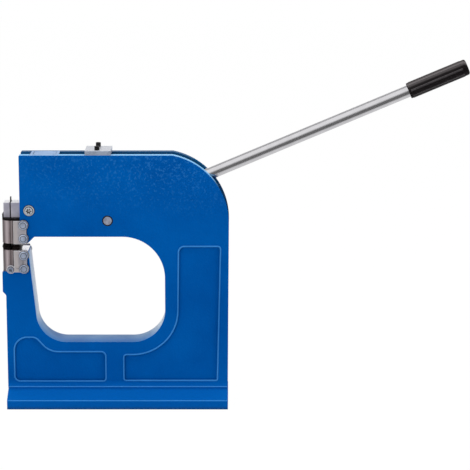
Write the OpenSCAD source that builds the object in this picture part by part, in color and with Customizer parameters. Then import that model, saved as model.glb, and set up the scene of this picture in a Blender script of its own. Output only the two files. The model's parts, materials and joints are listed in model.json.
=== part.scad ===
// Bench shrinker stretcher: a cast C-frame whose hand lever works a cam, a rocker and a ram,
// which press two pairs of sliding toothed jaws on a sheet of metal.
// Front (jaws) is -X, the handle points to +X, and Z = 0 is the underside of the foot.

/* [Frame] */
// Length of the foot
frame_l = 369; // [340:1:400]
// Height of the top of the cheeks
frame_h = 426.5; // [410:0.5:440]
// Thickness of the casting
frame_t = 50; // [46:1:60]
// Width of the slot between the cheeks
slot_w = 24; // [22:0.5:26]
// Set-back of the upper arm's front face from the front end of the foot
arm_set = 25.3; // [22:0.1:29]
// Depth of the upper arm, from its top to its underside
arm_h = 136.5; // [132:0.5:140]
// Thickness of the web under the slot
web_t = 9; // [7:0.5:12]
// Radius of the rear top corner
corner_r = 115.6; // [105:0.1:118]
// Width of the foot
foot_w = 100; // [80:1:130]
// Height of the foot's edge
foot_edge_h = 15.5; // [13:0.5:18]
// Height at which the foot's slope meets the body
foot_top_h = 28; // [24:0.5:30]
// Depth of the cast pockets in each side
pocket_d = 4; // [2:0.5:8]

/* [Throat] */
// Thickness of the casting behind the throat
rear_wall = 104.5; // [95:0.5:114]
// Height of the throat's floor
throat_floor = 110; // [105:1:118]
// Gap between the nose of the arm and the top of the column
sheet_gap = 13.6; // [12:0.1:16]
// Drop from the arm's underside to the top of the column
column_drop = 24; // [23:0.5:26]

/* [Foot holes] */
// Distance between the tapped holes along the foot
hole_pitch_x = 300; // [260:5:330]
// Distance between the tapped holes across the foot
hole_pitch_y = 74; // [70:1:78]
// Diameter of the tapped holes
hole_d = 8.5; // [6.8:0.1:10.2]
// Depth of the tapped holes
hole_depth = 12; // [8:1:14]

/* [Handle] */
// Angle of the handle above level
handle_angle = 22.87; // [21:0.01:26]
// How far the handle lifts
handle_lift = 50; // [40:1:52]
// Distance from the pivot to the end of the grip
handle_l = 643.5; // [500:0.5:700]
// Height of the bar's axis over the pivot, square to the bar
bar_rise = 3.2; // [0:0.1:5]
// Diameter of the bar
bar_d = 20; // [16:0.5:20]
// Length of the grip
grip_l = 104; // [80:1:130]
// Diameter of the grip
grip_d = 26.6; // [25:0.1:34]
// Diameter of the pivot pin
pin_d = 14; // [10:0.5:15]

/* [Rocker] */
// Diameter of the pivot bolt
bolt_d = 12; // [10:0.5:13]
// Thickness of the rocker
rocker_t = 12; // [9:0.5:13]
// Reach of the rocker's nose in front of its pivot
nose_reach = 23.2; // [22:0.1:24.5]
// Diameter of the rounded nose
nose_d = 11; // [9:0.5:12]
// Diameter of the cam roller
roller_d = 18; // [16:0.5:19]
// Width of the cam roller
roller_w = 9; // [7:0.5:11]
// How far the ram rises
stroke = 5; // [3:0.1:5.5]

/* [Return spring] */
// Outer diameter of the spring
spring_d = 17; // [14:0.5:19]
// Diameter of the wire
wire_d = 2.2; // [1.6:0.1:2.6]
// Number of curls
spring_turns = 7; // [5:1:8]

/* [Jaws] */
// How far the jaw housings stand out in front of the foot
jaw_over = 5.1; // [3.5:0.1:7]
// Height of a jaw housing
housing_h = 36.5; // [34:0.5:38]
// Radius of the rounded front edges of the housings
nose_r = 14; // [6:0.5:16]
// Width of the jaws
jaw_w = 40; // [30:0.5:42]
// Length of one jaw half at its teeth
jaw_l = 12.6; // [11:0.1:12.8]
// Height of a jaw half
jaw_h = 21; // [18:0.5:22]
// How far a jaw half stands out of its housing
jaw_out = 5.5; // [4:0.1:5.8]
// Slope of the jaw seats from upright
seat_angle = 20; // [12:1:22]
// Travel of a jaw half along its seat
jaw_travel = 3; // [1:0.1:3]
// Pitch of the jaw teeth
tooth_pitch = 2.1; // [1.5:0.1:3]
// Depth of the jaw teeth
tooth_h = 0.7; // [0.3:0.1:1]
// Thickness of the side plates
plate_t = 5; // [4:0.5:7]

/* [Hidden] */
$fn = 64;

// Clearances
slide_gap = 0.15;
run_gap = 0.05;
free_gap = 0.3;
arm_gap = 0.8;
past = 1;

// Distances between the main places
pivot_in = 144.9;
pivot_rise = 27;
fulcrum_in = 15.4;
fulcrum_rise = 44.2;
roller_lead = 21.7;
roller_rise = 53;
hub_gap = 1;
cheek_gap = 0.5;
housing_proud = 1.3;
tooth_gap = 0.4;
upper_extra_h = 2;
ram_reach = 28;

// Main places in the side view, as [x, z]
half_l = frame_l / 2;
side_y = frame_t / 2;
slot_y = slot_w / 2;
arm_front = half_l - arm_set;
throat_back = half_l - rear_wall;
jaw_front = half_l + jaw_over;
arm_z = frame_h - arm_h;
column_top = arm_z - column_drop;
pivot = [-arm_front + pivot_in, arm_z + pivot_rise];
fulcrum = [-arm_front + fulcrum_in, arm_z + fulcrum_rise];
slot_floor = arm_z + web_t;
arm_nose = column_top + sheet_gap;
nose_drop = stroke / 2;
nose_at = fulcrum + [-nose_reach, -nose_drop];
rocker_tilt = 2 * asin(stroke / 2 / norm([nose_reach, nose_drop]));
roller_at = pivot + [-roller_lead, roller_rise];
hub_r = pivot[1] - slot_floor - hub_gap;
hub_y = slot_y - cheek_gap;

// Jaw heights: the two rows of teeth meet in the middle of the sheet gap
lower_top = column_top + housing_proud;
lower_z = lower_top - housing_h;
meet_z = lower_top + jaw_out + tooth_gap / 2;
upper_z = meet_z + tooth_gap / 2 + jaw_out;
upper_top = upper_z + housing_h + upper_extra_h;
jaw_mid = -(jaw_front + arm_front) / 2;
ram_top = upper_top + ram_reach;
upper_y = side_y + free_gap;

module slab(y0, y1) {
    translate([0, y1, 0])
        rotate([90, 0, 0])
            linear_extrude(height = y1 - y0)
                children();
}

module both_sides() {
    children();
    mirror([0, 1, 0])
        children();
}

// A closed outline of [x, y, corner radius] points, counter-clockwise, with true round corners
function unit(v) = v / norm(v);
function cross2(a, b) = a[0] * b[1] - a[1] * b[0];
function at(p, i) = let(q = p[(i + len(p)) % len(p)]) [q[0], q[1]];
function turn(p, i) = cross2(unit(at(p, i) - at(p, i - 1)), unit(at(p, i + 1) - at(p, i)));
function half_angle(p, i) =
    acos(unit(at(p, i - 1) - at(p, i)) * unit(at(p, i + 1) - at(p, i))) / 2;
function setback(p, i) = p[i][2] / tan(half_angle(p, i));
function tangent_points(p) = [
    for (i = [0 : len(p) - 1])
        for (k = p[i][2] > 0 ? [-1, 1] : [0])
            at(p, i) + (k == 0 ? [0, 0] : setback(p, i) * unit(at(p, i + k) - at(p, i)))
];
function corner_centre(p, i) = at(p, i)
    + p[i][2] / sin(half_angle(p, i))
    * unit(unit(at(p, i - 1) - at(p, i)) + unit(at(p, i + 1) - at(p, i)));

module outline(p) {
    rounds = [for (i = [0 : len(p) - 1]) if (p[i][2] > 0) i];
    difference() {
        union() {
            polygon(tangent_points(p));
            for (i = rounds)
                if (turn(p, i) > 0)
                    translate(corner_centre(p, i))
                        circle(r = p[i][2]);
        }
        for (i = rounds)
            if (turn(p, i) < 0)
                translate(corner_centre(p, i))
                    circle(r = p[i][2]);
    }
}

module at_side(p) {
    translate([p[0], 0, p[1]])
        rotate([90, 0, 0])
            children();
}

// Bolt with a flat round head: chamfered edge and a turned ring
module bolt_flat(shank_r, shank_l, head_r, head_h) {
    chamfer = head_h * 0.4;
    ring_r = head_r * 0.62;
    ring_w = head_r * 0.12;
    ring_d = head_h * 0.35;
    translate([0, 0, -shank_l])
        cylinder(r = shank_r, h = shank_l);
    difference() {
        union() {
            cylinder(r = head_r, h = head_h - chamfer);
            translate([0, 0, head_h - chamfer])
                cylinder(r1 = head_r, r2 = head_r - chamfer, h = chamfer);
        }
        translate([0, 0, head_h - ring_d])
            difference() {
                cylinder(r = ring_r + ring_w, h = ring_d + past);
                translate([0, 0, -past])
                    cylinder(r = ring_r, h = ring_d + 3 * past);
            }
    }
}

// Bolt with a flange, a round head and a hexagon socket
module bolt_flanged(shank_r, shank_l, flange_r, flange_h, head_r, head_h) {
    key_r = head_r * 0.6;
    key_d = head_h * 0.85;
    translate([0, 0, -shank_l])
        cylinder(r = shank_r, h = shank_l);
    cylinder(r = flange_r, h = flange_h);
    translate([0, 0, flange_h])
        difference() {
            cylinder(r = head_r, h = head_h);
            translate([0, 0, head_h - key_d])
                cylinder(r = key_r, h = key_d + past, $fn = 6);
        }
}

module bolt_cap(shank_r, shank_l, head_r, head_h) {
    key_r = head_r * 0.55;
    key_d = head_h * 0.9;
    translate([0, 0, -shank_l])
        cylinder(r = shank_r, h = shank_l);
    difference() {
        cylinder(r = head_r, h = head_h);
        translate([0, 0, head_h - key_d])
            cylinder(r = key_r, h = key_d + past, $fn = 6);
    }
}

// Frame
column_over = 5.5;
column_front = half_l + column_over;
corner_over = 1.8;
corner_rise = 23.2;
corner_at = [half_l + corner_over - corner_r, arm_z + corner_rise];
cover_l = 47.6;
cover_lead = 17.6;
cover_x = [-arm_front + cover_lead, -arm_front + cover_lead + cover_l];
cover_t = 3;
cover_lip = 3;
cover_y = side_y - cover_lip;
cover_screw_in = 8;
cover_screw_x = [cover_x[0] + cover_screw_in, cover_x[1] - cover_screw_in];
cover_screw_y = (slot_y + cover_y) / 2;
cover_screw_r = 2;
cover_screw_l = 8;
cover_head_r = 3.5;
cover_head_h = 1.5;
bridge_lead = 36;
bridge_l = 42.6;
bridge_x = [pivot[0] - bridge_lead, pivot[0] - bridge_lead + bridge_l];
bridge_t = 8;
bridge_inset = 0.6;
bridge_edge_r = 1.4;
bridge_y = side_y - bridge_inset;
bridge_screw_r = 3;
bridge_screw_l = 10;
bridge_head_r = 4.2;
bridge_head_h = 6.5;
bridge_screw_y = (slot_y + side_y) / 2;
bridge_screw_lead = 1.5;
bridge_screw_x = (bridge_x[0] + bridge_x[1]) / 2 - bridge_screw_lead;
ring_wall = 1.9;
ring_r = pin_d / 2 + ring_wall;
ring_t = 1.5;
plate_bolt_in = 5.6;
plate_bolt_x = -arm_front + plate_bolt_in;
plate_bolt_up = 9;
plate_bolt_down = 7;
plate_bolt_z = [upper_z + plate_bolt_up, upper_top - plate_bolt_down];
plate_bolt_r = 3;
plate_head_r = 7.2;
plate_head_h = 2.2;
lower_bolt_down = 8.4;
lower_bolt_up = 5.5;
lower_bolt_z = [lower_top - lower_bolt_down, lower_z + lower_bolt_up];
lower_bolt_r = 4;
lower_bolt_l = 12;
lower_screw_up = 4.5;
lower_screw_r = 2;
lower_screw_l = 5;
lower_screw = [jaw_mid - 1, lower_z + lower_screw_up];
tongue_l = 27;
tongue_rear = -arm_front + tongue_l;
tongue_gap = 2;
hole_end = 2;
wall_in = 13.1;
nose_slope = 10.4;
wall_top = -arm_front + wall_in;
pocket_under = 70;
pocket_gap = 30;
rear_pocket_x = throat_back - pocket_under;

module frame_side() {
    column_step = lower_z - 34;
    step_drop = 6;
    outline([
        [-half_l, 0, 1],
        [half_l - 0.5, 0, 1],
        [corner_at[0] + corner_r, corner_at[1], 0],
        [corner_at[0], corner_at[1], 0],
        [corner_at[0], frame_h, 0],
        [-arm_front, frame_h, 2],
        [-arm_front, lower_z, 0],
        [-column_front, lower_z, 1.5],
        [-column_front, column_step, 1],
        [-half_l, column_step - step_drop, 5]
    ]);
    intersection() {
        translate(corner_at)
            circle(r = corner_r, $fn = 128);
        translate(corner_at - [past, past])
            square([corner_r + past, frame_h - corner_at[1] + past]);
    }
}

module throat() {
    wall_low = wall_top + (column_top - throat_floor) * 0.102;
    outline([
        [wall_low, throat_floor, 50],
        [throat_back, throat_floor, 55],
        [throat_back, arm_z, 70],
        [wall_top + nose_slope, arm_z, 4],
        [wall_top, arm_nose, 4],
        [-column_front - 20, arm_nose, 0],
        [-column_front - 20, column_top, 0],
        [wall_top, column_top, 4]
    ]);
}

module rear_pocket() {
    low_z = 43.5;
    rim_low = 17.7;
    rim_high = 11.9;
    wall_low = 20;
    wall_high = 22.8;
    floor_t = 21.5;
    arc_r = 76;
    top_z = arm_z - 16.2;
    reach = throat_floor - floor_t;
    outline([
        [rear_pocket_x, low_z, 4],
        [half_l - rim_low, low_z, 3],
        [half_l - rim_high, top_z, 5],
        [throat_back + wall_high, top_z, 10],
        [throat_back + wall_low, reach, arc_r],
        [rear_pocket_x, reach, 5]
    ]);
}

module front_pocket() {
    low_z = 42.5;
    end_x = rear_pocket_x - pocket_gap;
    top_z = throat_floor - 16.5;
    outline([
        [-half_l + 11.5, low_z, 9],
        [end_x, low_z, 5],
        [end_x, top_z, 8],
        [-half_l + 70, top_z, 34],
        [-half_l + 48, top_z + 25, 15],
        [-half_l + 11.5, top_z + 25, 22]
    ]);
}

module slot_side() {
    outline([
        [-column_front - 20, column_top, 0],
        [tongue_rear + tongue_gap, column_top, 0],
        [tongue_rear + tongue_gap, slot_floor, 0],
        [pivot[0] + 42, slot_floor, 12],
        [half_l + 20, slot_floor + 82, 0],
        [half_l + 20, frame_h + 20, 0],
        [-column_front - 20, frame_h + 20, 0]
    ]);
}

module foot_profile() {
    half_w = foot_w / 2;
    outline([
        [-half_w, 0, 1],
        [half_w, 0, 1],
        [half_w, foot_edge_h, 2.5],
        [side_y, foot_top_h, 0],
        [-side_y, foot_top_h, 0],
        [-half_w, foot_edge_h, 2.5]
    ]);
}

module frame() {
    undercut_h = 4.5;
    undercut_d = 1.5;
    color("royalblue")
        difference() {
            union() {
                slab(-side_y, side_y)
                    frame_side();
                translate([-half_l, 0, 0])
                    rotate([90, 0, 90])
                        linear_extrude(height = frame_l)
                            foot_profile();
            }
            slab(-side_y - past, side_y + past)
                throat();
            slab(-slot_y, slot_y)
                slot_side();
            both_sides() {
                slab(side_y - pocket_d, side_y + past) {
                    rear_pocket();
                    front_pocket();
                }
                translate([-frame_l, side_y - undercut_d, foot_top_h])
                    cube([2 * frame_l, frame_t, undercut_h]);
                // Guide slots for the bolts of the upper side plates
                slab(slot_y - past, side_y + past)
                    for (z = plate_bolt_z) {
                        translate([plate_bolt_x - plate_bolt_r - free_gap, z])
                            square([2 * (plate_bolt_r + free_gap), stroke]);
                        for (dz = [0, stroke])
                            translate([plate_bolt_x, z + dz])
                                circle(r = plate_bolt_r + free_gap);
                    }
                // Tapped holes for the lower side plates
                for (z = lower_bolt_z)
                    translate([plate_bolt_x, side_y - lower_bolt_l - hole_end, z])
                        rotate([-90, 0, 0])
                            cylinder(r = lower_bolt_r + run_gap, h = lower_bolt_l + hole_end + past);
                translate([0, side_y - ring_t, 0])
                    at_side(pivot)
                        mirror([0, 0, 1])
                            cylinder(r = ring_r + run_gap, h = ring_t + past);
                translate([bridge_screw_x, bridge_screw_y, frame_h - bridge_screw_l - hole_end])
                    cylinder(r = bridge_screw_r + run_gap, h = bridge_screw_l + hole_end + past);
                for (x = cover_screw_x)
                    translate([x, cover_screw_y, frame_h - cover_head_h - cover_screw_l - hole_end])
                        cylinder(r = cover_screw_r + run_gap, h = cover_screw_l + hole_end + past);
            }
            translate([0, side_y + past, 0]) {
                at_side(pivot)
                    cylinder(r = pin_d / 2 + run_gap, h = frame_t + 2 * past);
                at_side(fulcrum)
                    cylinder(r = bolt_d / 2 + run_gap, h = frame_t + 2 * past);
            }
            translate([cover_x[0], -cover_y, frame_h - cover_t])
                cube([cover_l, 2 * cover_y, cover_t + past]);
            for (x = [-1, 1], y = [-1, 1])
                translate([x * hole_pitch_x / 2, y * hole_pitch_y / 2, -past])
                    cylinder(d = hole_d, h = hole_depth + past);
        }
}

// Plates on top
module front_cover() {
    color("lightsteelblue")
        difference() {
            translate([cover_x[0] + slide_gap, -cover_y + slide_gap, frame_h - cover_t])
                cube([cover_l - 2 * slide_gap, 2 * (cover_y - slide_gap), cover_t]);
            cover_screw_places()
                translate([0, 0, -past - cover_t])
                    cylinder(r = cover_screw_r + run_gap, h = cover_t + 2 * past);
            cover_screw_places()
                translate([0, 0, -cover_head_h])
                    cylinder(r = cover_head_r + run_gap, h = cover_head_h + past);
        }
}

module cover_screw_places() {
    both_sides()
        for (x = cover_screw_x)
            translate([x, cover_screw_y, frame_h])
                children();
}

module front_cover_screws() {
    key_r = 1.4;
    key_d = 1;
    color("gray")
        cover_screw_places()
            translate([0, 0, -cover_head_h])
                difference() {
                    union() {
                        cylinder(r = cover_head_r, h = cover_head_h);
                        translate([0, 0, -cover_screw_l])
                            cylinder(r = cover_screw_r, h = cover_screw_l);
                    }
                    translate([0, 0, cover_head_h - key_d])
                        cylinder(r = key_r, h = key_d + past, $fn = 6);
                }
}

module bridge_plate() {
    color("lightgray")
        difference() {
            translate([bridge_x[0], 0, frame_h])
                rotate([90, 0, 90])
                    linear_extrude(bridge_l)
                        outline([
                            [-bridge_y, 0, 0],
                            [bridge_y, 0, 0],
                            [bridge_y, bridge_t, bridge_edge_r],
                            [-bridge_y, bridge_t, bridge_edge_r]
                        ]);
            both_sides()
                translate([bridge_screw_x, bridge_screw_y, frame_h - past])
                    cylinder(r = bridge_screw_r + run_gap, h = bridge_t + 2 * past);
        }
}

module bridge_screws() {
    color("dimgray")
        both_sides()
            translate([bridge_screw_x, bridge_screw_y, frame_h + bridge_t])
                bolt_cap(bridge_screw_r, bridge_t + bridge_screw_l, bridge_head_r, bridge_head_h);
}

// Return spring: one wire from the rocker's tail up to the bridge plate
rocker_ear_r = roller_d / 2 - 1;
seat_t = 3;
seat_z = roller_at[1] + rocker_ear_r + seat_t;
spring_low = seat_z + free_gap;
spring_high = frame_h - free_gap;
spring_r = (spring_d - wire_d) / 2;
curl_steps = 8;
wire_sides = 6;
peg_r = spring_r * cos(180 / curl_steps) - wire_d / 2 - free_gap;
peg_h = 5;
lead = wire_d;
spring_pitch = (spring_high - spring_low - 2 * lead) / spring_turns;
function spring_point(s) =
    s < 0 ? [spring_r, 0, spring_low + lead * (1 + s)]
    : s > spring_turns ? [spring_r, 0, spring_high - lead * (1 - s + spring_turns)]
    : [spring_r * cos(360 * s), spring_r * sin(360 * s), spring_low + lead + spring_pitch * s];
spring_path = concat([-1], [for (i = [0 : spring_turns * curl_steps]) i / curl_steps],
                     [spring_turns + 1]);
function wire_ring(s) =
    let (a = 360 * min(max(s, 0), spring_turns), c = spring_point(s),
         out = [cos(a), sin(a), 0],
         tilt = (s < 0 || s > spring_turns) ? 90 : atan(spring_pitch / (2 * PI * spring_r)),
         flat = (s < 0 || s > spring_turns) ? [-sin(a), cos(a), 0]
             : [sin(a) * sin(tilt), -cos(a) * sin(tilt), cos(tilt)],
         turned = (s < 0 || s > spring_turns) ? -flat : flat)
    [for (k = [0 : wire_sides - 1])
        c + wire_d / 2 * (cos(360 * k / wire_sides) * out + sin(360 * k / wire_sides) * turned)];
spring_self_gap = spring_pitch * cos(atan(spring_pitch / (2 * PI * spring_r))) - wire_d;

module return_spring() {
    rings = [for (s = spring_path) wire_ring(s)];
    n = len(rings);
    w = wire_sides;
    side_faces = [
        for (i = [0 : n - 2])
            for (k = [0 : w - 1])
                let (a = i * w + k, b = i * w + (k + 1) % w)
                    for (f = [[a, a + w, b], [b, a + w, b + w]])
                        f
    ];
    caps = [
        for (k = [1 : w - 2])
            for (f = [[0, k, k + 1], [(n - 1) * w, (n - 1) * w + k + 1, (n - 1) * w + k]])
                f
    ];
    echo("least gap between curls of the spring", spring_self_gap);
    color("gray")
        translate([roller_at[0], 0, 0])
            polyhedron(points = [for (r = rings) for (p = r) p], faces = concat(side_faces, caps));
}

// Pivots
module pivot_pin() {
    color("lightgray")
        translate([0, side_y, 0])
            at_side(pivot)
                cylinder(r = pin_d / 2, h = frame_t);
}

module pivot_rings() {
    color("black")
        both_sides()
            translate([0, side_y, 0])
                at_side(pivot)
                    difference() {
                        cylinder(r = ring_r, h = ring_t);
                        translate([0, 0, -past])
                            cylinder(r = pin_d / 2 + run_gap, h = ring_t + 2 * past);
                    }
}

nut_d = 20.5;
nut_h = 8;
thread_end = 1;

module pivot_bolt() {
    flange_r = 8.7;
    flange_h = 1.6;
    head_r = 6.2;
    head_h = 4.4;
    color("silver")
        translate([0, -side_y, 0])
            at_side(fulcrum)
                bolt_flanged(bolt_d / 2, frame_t + nut_h + thread_end, flange_r, flange_h, head_r, head_h);
}

module pivot_nut() {
    color("silver")
        translate([0, side_y, 0])
            at_side(fulcrum)
                mirror([0, 0, 1])
                    difference() {
                        cylinder(d = nut_d, h = nut_h, $fn = 6);
                        translate([0, 0, -past])
                            cylinder(r = bolt_d / 2 + run_gap, h = nut_h + 2 * past);
                    }
}

// Handle: hub with cam, bar and grip
socket_l = 26;
bar_start = hub_r + socket_l;
socket_r = hub_y - 1;
spigot_step = 3;
spigot_r = bar_d / 2 - spigot_step;
spigot_l = 22;
grip_end_t = 10;
bar_end = handle_l - grip_end_t;
hub_screw_r = 2.5;
hub_screw_in = 9;

module along_handle() {
    translate([pivot[0], 0, pivot[1]])
        rotate([0, 90 - handle_angle, 0])
            translate([-bar_rise, 0, 0])
                children();
}

// Cam: the path of the roller's centre seen from the turning hub, moved in by the roller's radius
cam_steps = 24;
function spin(v, a) = [v[0] * cos(a) - v[1] * sin(a), v[0] * sin(a) + v[1] * cos(a)];
function roller_path(u) = spin(fulcrum + spin(roller_at - fulcrum, -rocker_tilt * u) - pivot,
                               -handle_lift * u);
function roller_normal(u) =
    let (d = roller_path(u + 0.01) - roller_path(u - 0.01)) unit([d[1], -d[0]]);
function cam_point(u) =
    let (n = roller_normal(u), c = roller_path(u), inward = n * c < 0 ? n : -n)
        c + (roller_d / 2 + free_gap) * inward;
cam_lead = 0.06;

module cam_side() {
    flank = [for (i = [0 : cam_steps]) cam_point(-cam_lead + (1 + 2 * cam_lead) * i / cam_steps)];
    heel = spin(flank[0], 12) * 0.72;
    polygon(concat([[0, 0], spin(unit(flank[0]) * hub_r, 75)], [heel], flank, [[hub_r, 0]]));
    circle(r = hub_r);
}

module handle_hub() {
    color("slategray")
        difference() {
            union() {
                translate([pivot[0], 0, pivot[1]])
                    slab(-hub_y, hub_y)
                        cam_side();
                along_handle()
                    cylinder(r = socket_r, h = bar_start);
            }
            translate([0, side_y, 0])
                at_side(pivot)
                    cylinder(r = pin_d / 2 + run_gap, h = frame_t);
            along_handle()
                translate([0, 0, bar_start - spigot_l])
                    cylinder(r = spigot_r + run_gap, h = spigot_l + past);
            along_handle()
                translate([-socket_r - past, 0, bar_start - hub_screw_in])
                    rotate([0, 90, 0])
                        cylinder(r = hub_screw_r + run_gap, h = socket_r);
        }
}

module hub_screw() {
    sunk = 0.5;
    key_r = 1.4;
    key_d = 1.5;
    color("black")
        along_handle()
            translate([-socket_r + sunk, 0, bar_start - hub_screw_in])
                rotate([0, 90, 0])
                    difference() {
                        cylinder(r = hub_screw_r, h = socket_r - sunk - spigot_r);
                        translate([0, 0, -past])
                            cylinder(r = key_r, h = past + key_d, $fn = 6);
                    }
}

module handle_bar() {
    color("gainsboro")
        along_handle() {
            translate([0, 0, bar_start])
                cylinder(r = bar_d / 2, h = bar_end - bar_start);
            translate([0, 0, bar_start - spigot_l + 1])
                cylinder(r = spigot_r, h = spigot_l);
        }
}

module handle_grip() {
    end_r = 3.5;
    lip_r = 1.5;
    r = grip_d / 2;
    color("black")
        along_handle()
            translate([0, 0, handle_l - grip_l])
                difference() {
                    rotate_extrude()
                        intersection() {
                            outline([[-r, 0, lip_r], [r, 0, lip_r],
                                     [r, grip_l, end_r], [-r, grip_l, end_r]]);
                            square([r, grip_l]);
                        }
                    translate([0, 0, -past])
                        cylinder(r = bar_d / 2 + run_gap, h = grip_l - (handle_l - bar_end) + past);
                }
}

// Rocker: fork with the cam roller at its tail, rounded nose in the ram's pocket
fork_y = hub_y - free_gap;
fork_gap = roller_w / 2 + free_gap;
fork_reach = 8;
fork_drop = 2;
fork_start = roller_at - [roller_d / 2 + fork_reach, fork_drop];
roller_pin_r = 4;
boss_wall = 4;

module rocker() {
    boss_r = bolt_d / 2 + boss_wall;
    neck_step = 1.6;
    neck_h = nose_d - 2 * neck_step;
    neck_end = nose_at + 0.42 * (fulcrum - nose_at);
    tail_h = 8;
    tail_rise = 1;
    back_l = 30;
    back_h = 24;
    back_r = 20;
    fork_lap = 6;
    roller_gap = 1.5;
    tail_low = fork_start + [0, tail_rise - tail_h];
    tail_high = fork_start + [fork_lap * 2 / 3, tail_rise + tail_h];
    opening = roller_d / 2 + roller_gap;
    color("darkgray")
        difference() {
            union() {
                slab(-rocker_t / 2, rocker_t / 2) {
                    outline([
                        [nose_at[0], nose_at[1] - neck_h / 2, 0],
                        [neck_end[0], neck_end[1] - neck_h / 2, 0],
                        [fulcrum[0], fulcrum[1] - boss_r, 0],
                        [tail_low[0], tail_low[1], 0],
                        [tail_high[0], tail_high[1], 0],
                        [fulcrum[0] + back_l, fulcrum[1] + back_h, back_r],
                        [fulcrum[0], fulcrum[1] + boss_r, 0],
                        [neck_end[0], neck_end[1] + neck_h / 2, 0],
                        [nose_at[0], nose_at[1] + neck_h / 2, 0]
                    ]);
                    translate(fulcrum)
                        circle(r = boss_r);
                    translate(nose_at)
                        circle(d = nose_d);
                }
                slab(-fork_y, fork_y) {
                    polygon([tail_low - [fork_lap, 0], roller_at - [0, rocker_ear_r],
                             roller_at + [0, rocker_ear_r], tail_high + [-fork_lap * 5 / 3, past]]);
                    translate(roller_at)
                        circle(r = rocker_ear_r);
                }
                translate([roller_at[0], 0, roller_at[1]])
                    cylinder(r = peg_r, h = seat_z - roller_at[1] + peg_h);
                translate([roller_at[0], 0, roller_at[1]])
                    cylinder(r = spring_d / 2 + past, h = seat_z - roller_at[1]);
            }
            slab(-fork_gap, fork_gap)
                translate(roller_at)
                    circle(r = opening);
            slab(-fork_gap, fork_gap)
                translate(roller_at - [opening, 2 * opening])
                    square([3 * opening, 2 * opening]);
            translate([0, side_y, 0]) {
                at_side(fulcrum)
                    cylinder(r = bolt_d / 2 + run_gap, h = frame_t);
                at_side(roller_at)
                    cylinder(r = roller_pin_r + run_gap, h = frame_t);
            }
        }
}

module roller_pin() {
    color("lightgray")
        translate([0, fork_y, 0])
            at_side(roller_at)
                cylinder(r = roller_pin_r, h = 2 * fork_y);
}

module cam_roller() {
    color("silver")
        translate([0, roller_w / 2, 0])
            at_side(roller_at)
                difference() {
                    cylinder(r = roller_d / 2, h = roller_w);
                    translate([0, 0, -past])
                        cylinder(r = roller_pin_r + run_gap, h = roller_w + 2 * past);
                }
}

// Ram: rear bar with its guide tongue, front bar and the strip between them
ram_y = slot_y - slide_gap;
ram_sunk = 14;
ram_low = upper_top - ram_sunk;
lip_t = 2.4;
ram_front = -jaw_front + lip_t;
strip_lead = 1.6;
strip_x = jaw_mid - strip_lead;
strip_t = 1.8;
ram_rear = -arm_front - arm_gap + slide_gap;
boss_gap = 1.5;
tongue_top = fulcrum[1] - bolt_d / 2 - boss_wall - stroke - boss_gap;
tongue_up = 3;
tongue_low = upper_z + tongue_up;

module ram() {
    color("silver")
        difference() {
            slab(-ram_y, ram_y)
                polygon([
                    [strip_x + strip_t / 2, ram_low],
                    [ram_rear, ram_low],
                    [ram_rear, tongue_low],
                    [wall_top - past, tongue_low],
                    [tongue_rear, arm_z + tongue_gap],
                    [tongue_rear, tongue_top],
                    [ram_rear, tongue_top],
                    [ram_rear, ram_top],
                    [strip_x + strip_t / 2, ram_top]
                ]);
            // Pocket that takes the rocker's nose
            slab(-rocker_t / 2 - free_gap, rocker_t / 2 + free_gap)
                translate(nose_at - [nose_d / 2 + free_gap, nose_d / 2 + slide_gap])
                    square([tongue_l + nose_reach, nose_d + 2 * slide_gap]);
            for (z = plate_bolt_z)
                translate([0, side_y, 0])
                    at_side([plate_bolt_x, z])
                        cylinder(r = plate_bolt_r + run_gap, h = frame_t);
        }
}

module ram_front_bar() {
    color("silver")
        translate([ram_front, -ram_y, ram_low])
            cube([strip_x - strip_t / 2 - ram_front, 2 * ram_y, ram_top - ram_low]);
}

module ram_strip() {
    tab_w = 6;
    tab_h = 8;
    color("dimgray") {
        translate([strip_x - strip_t / 2, -ram_y, ram_low])
            cube([strip_t, 2 * ram_y, ram_top - ram_low]);
        translate([strip_x - strip_t / 2, -tab_w / 2, ram_top - past])
            cube([strip_t, tab_w, tab_h + past]);
    }
}

module wiper() {
    t = 3.2;
    lip_h = 9;
    color("black")
        difference() {
            union() {
                translate([0, 0, upper_top])
                    linear_extrude(height = t)
                        housing_plan(upper_y);
                translate([-jaw_front, -ram_y, upper_top])
                    cube([lip_t, 2 * ram_y, lip_h]);
            }
            translate([ram_front, -ram_y, upper_top - past])
                cube([jaw_front, 2 * ram_y, lip_h + 2 * past]);
        }
}

// Jaw housings: rounded front edges, seats for the sliding jaw halves
housing_rear = -arm_front - arm_gap;
groove_w = 1.6;
groove_d = 1.5;
groove_step = 3.8;
groove_x = [jaw_mid - groove_w / 2, jaw_mid - groove_w / 2 + groove_step];

module housing_plan(half_w) {
    outline([
        [-jaw_front, -half_w, nose_r],
        [housing_rear, -half_w, 0],
        [housing_rear, half_w, 0],
        [-jaw_front, half_w, nose_r]
    ]);
}

module grooved_plan(half_w) {
    difference() {
        housing_plan(half_w);
        for (x = groove_x, y = [-half_w, half_w])
            translate([x - groove_w / 2, y - groove_d])
                square([groove_w, 2 * groove_d]);
    }
}

// One jaw half pointing down, front one, with its teeth at z = 0
jaw_split = jaw_travel * sin(seat_angle) + strip_t / 2 + 0.2;
jaw_centre = (-jaw_front + housing_rear) / 2;
jaw_pin_r = 2;
jaw_pin_l = 1.8;
seat_run = [sin(seat_angle), cos(seat_angle)];
jaw_pin_at = [-jaw_split - jaw_l * 0.42, jaw_h * 0.6];

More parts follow.
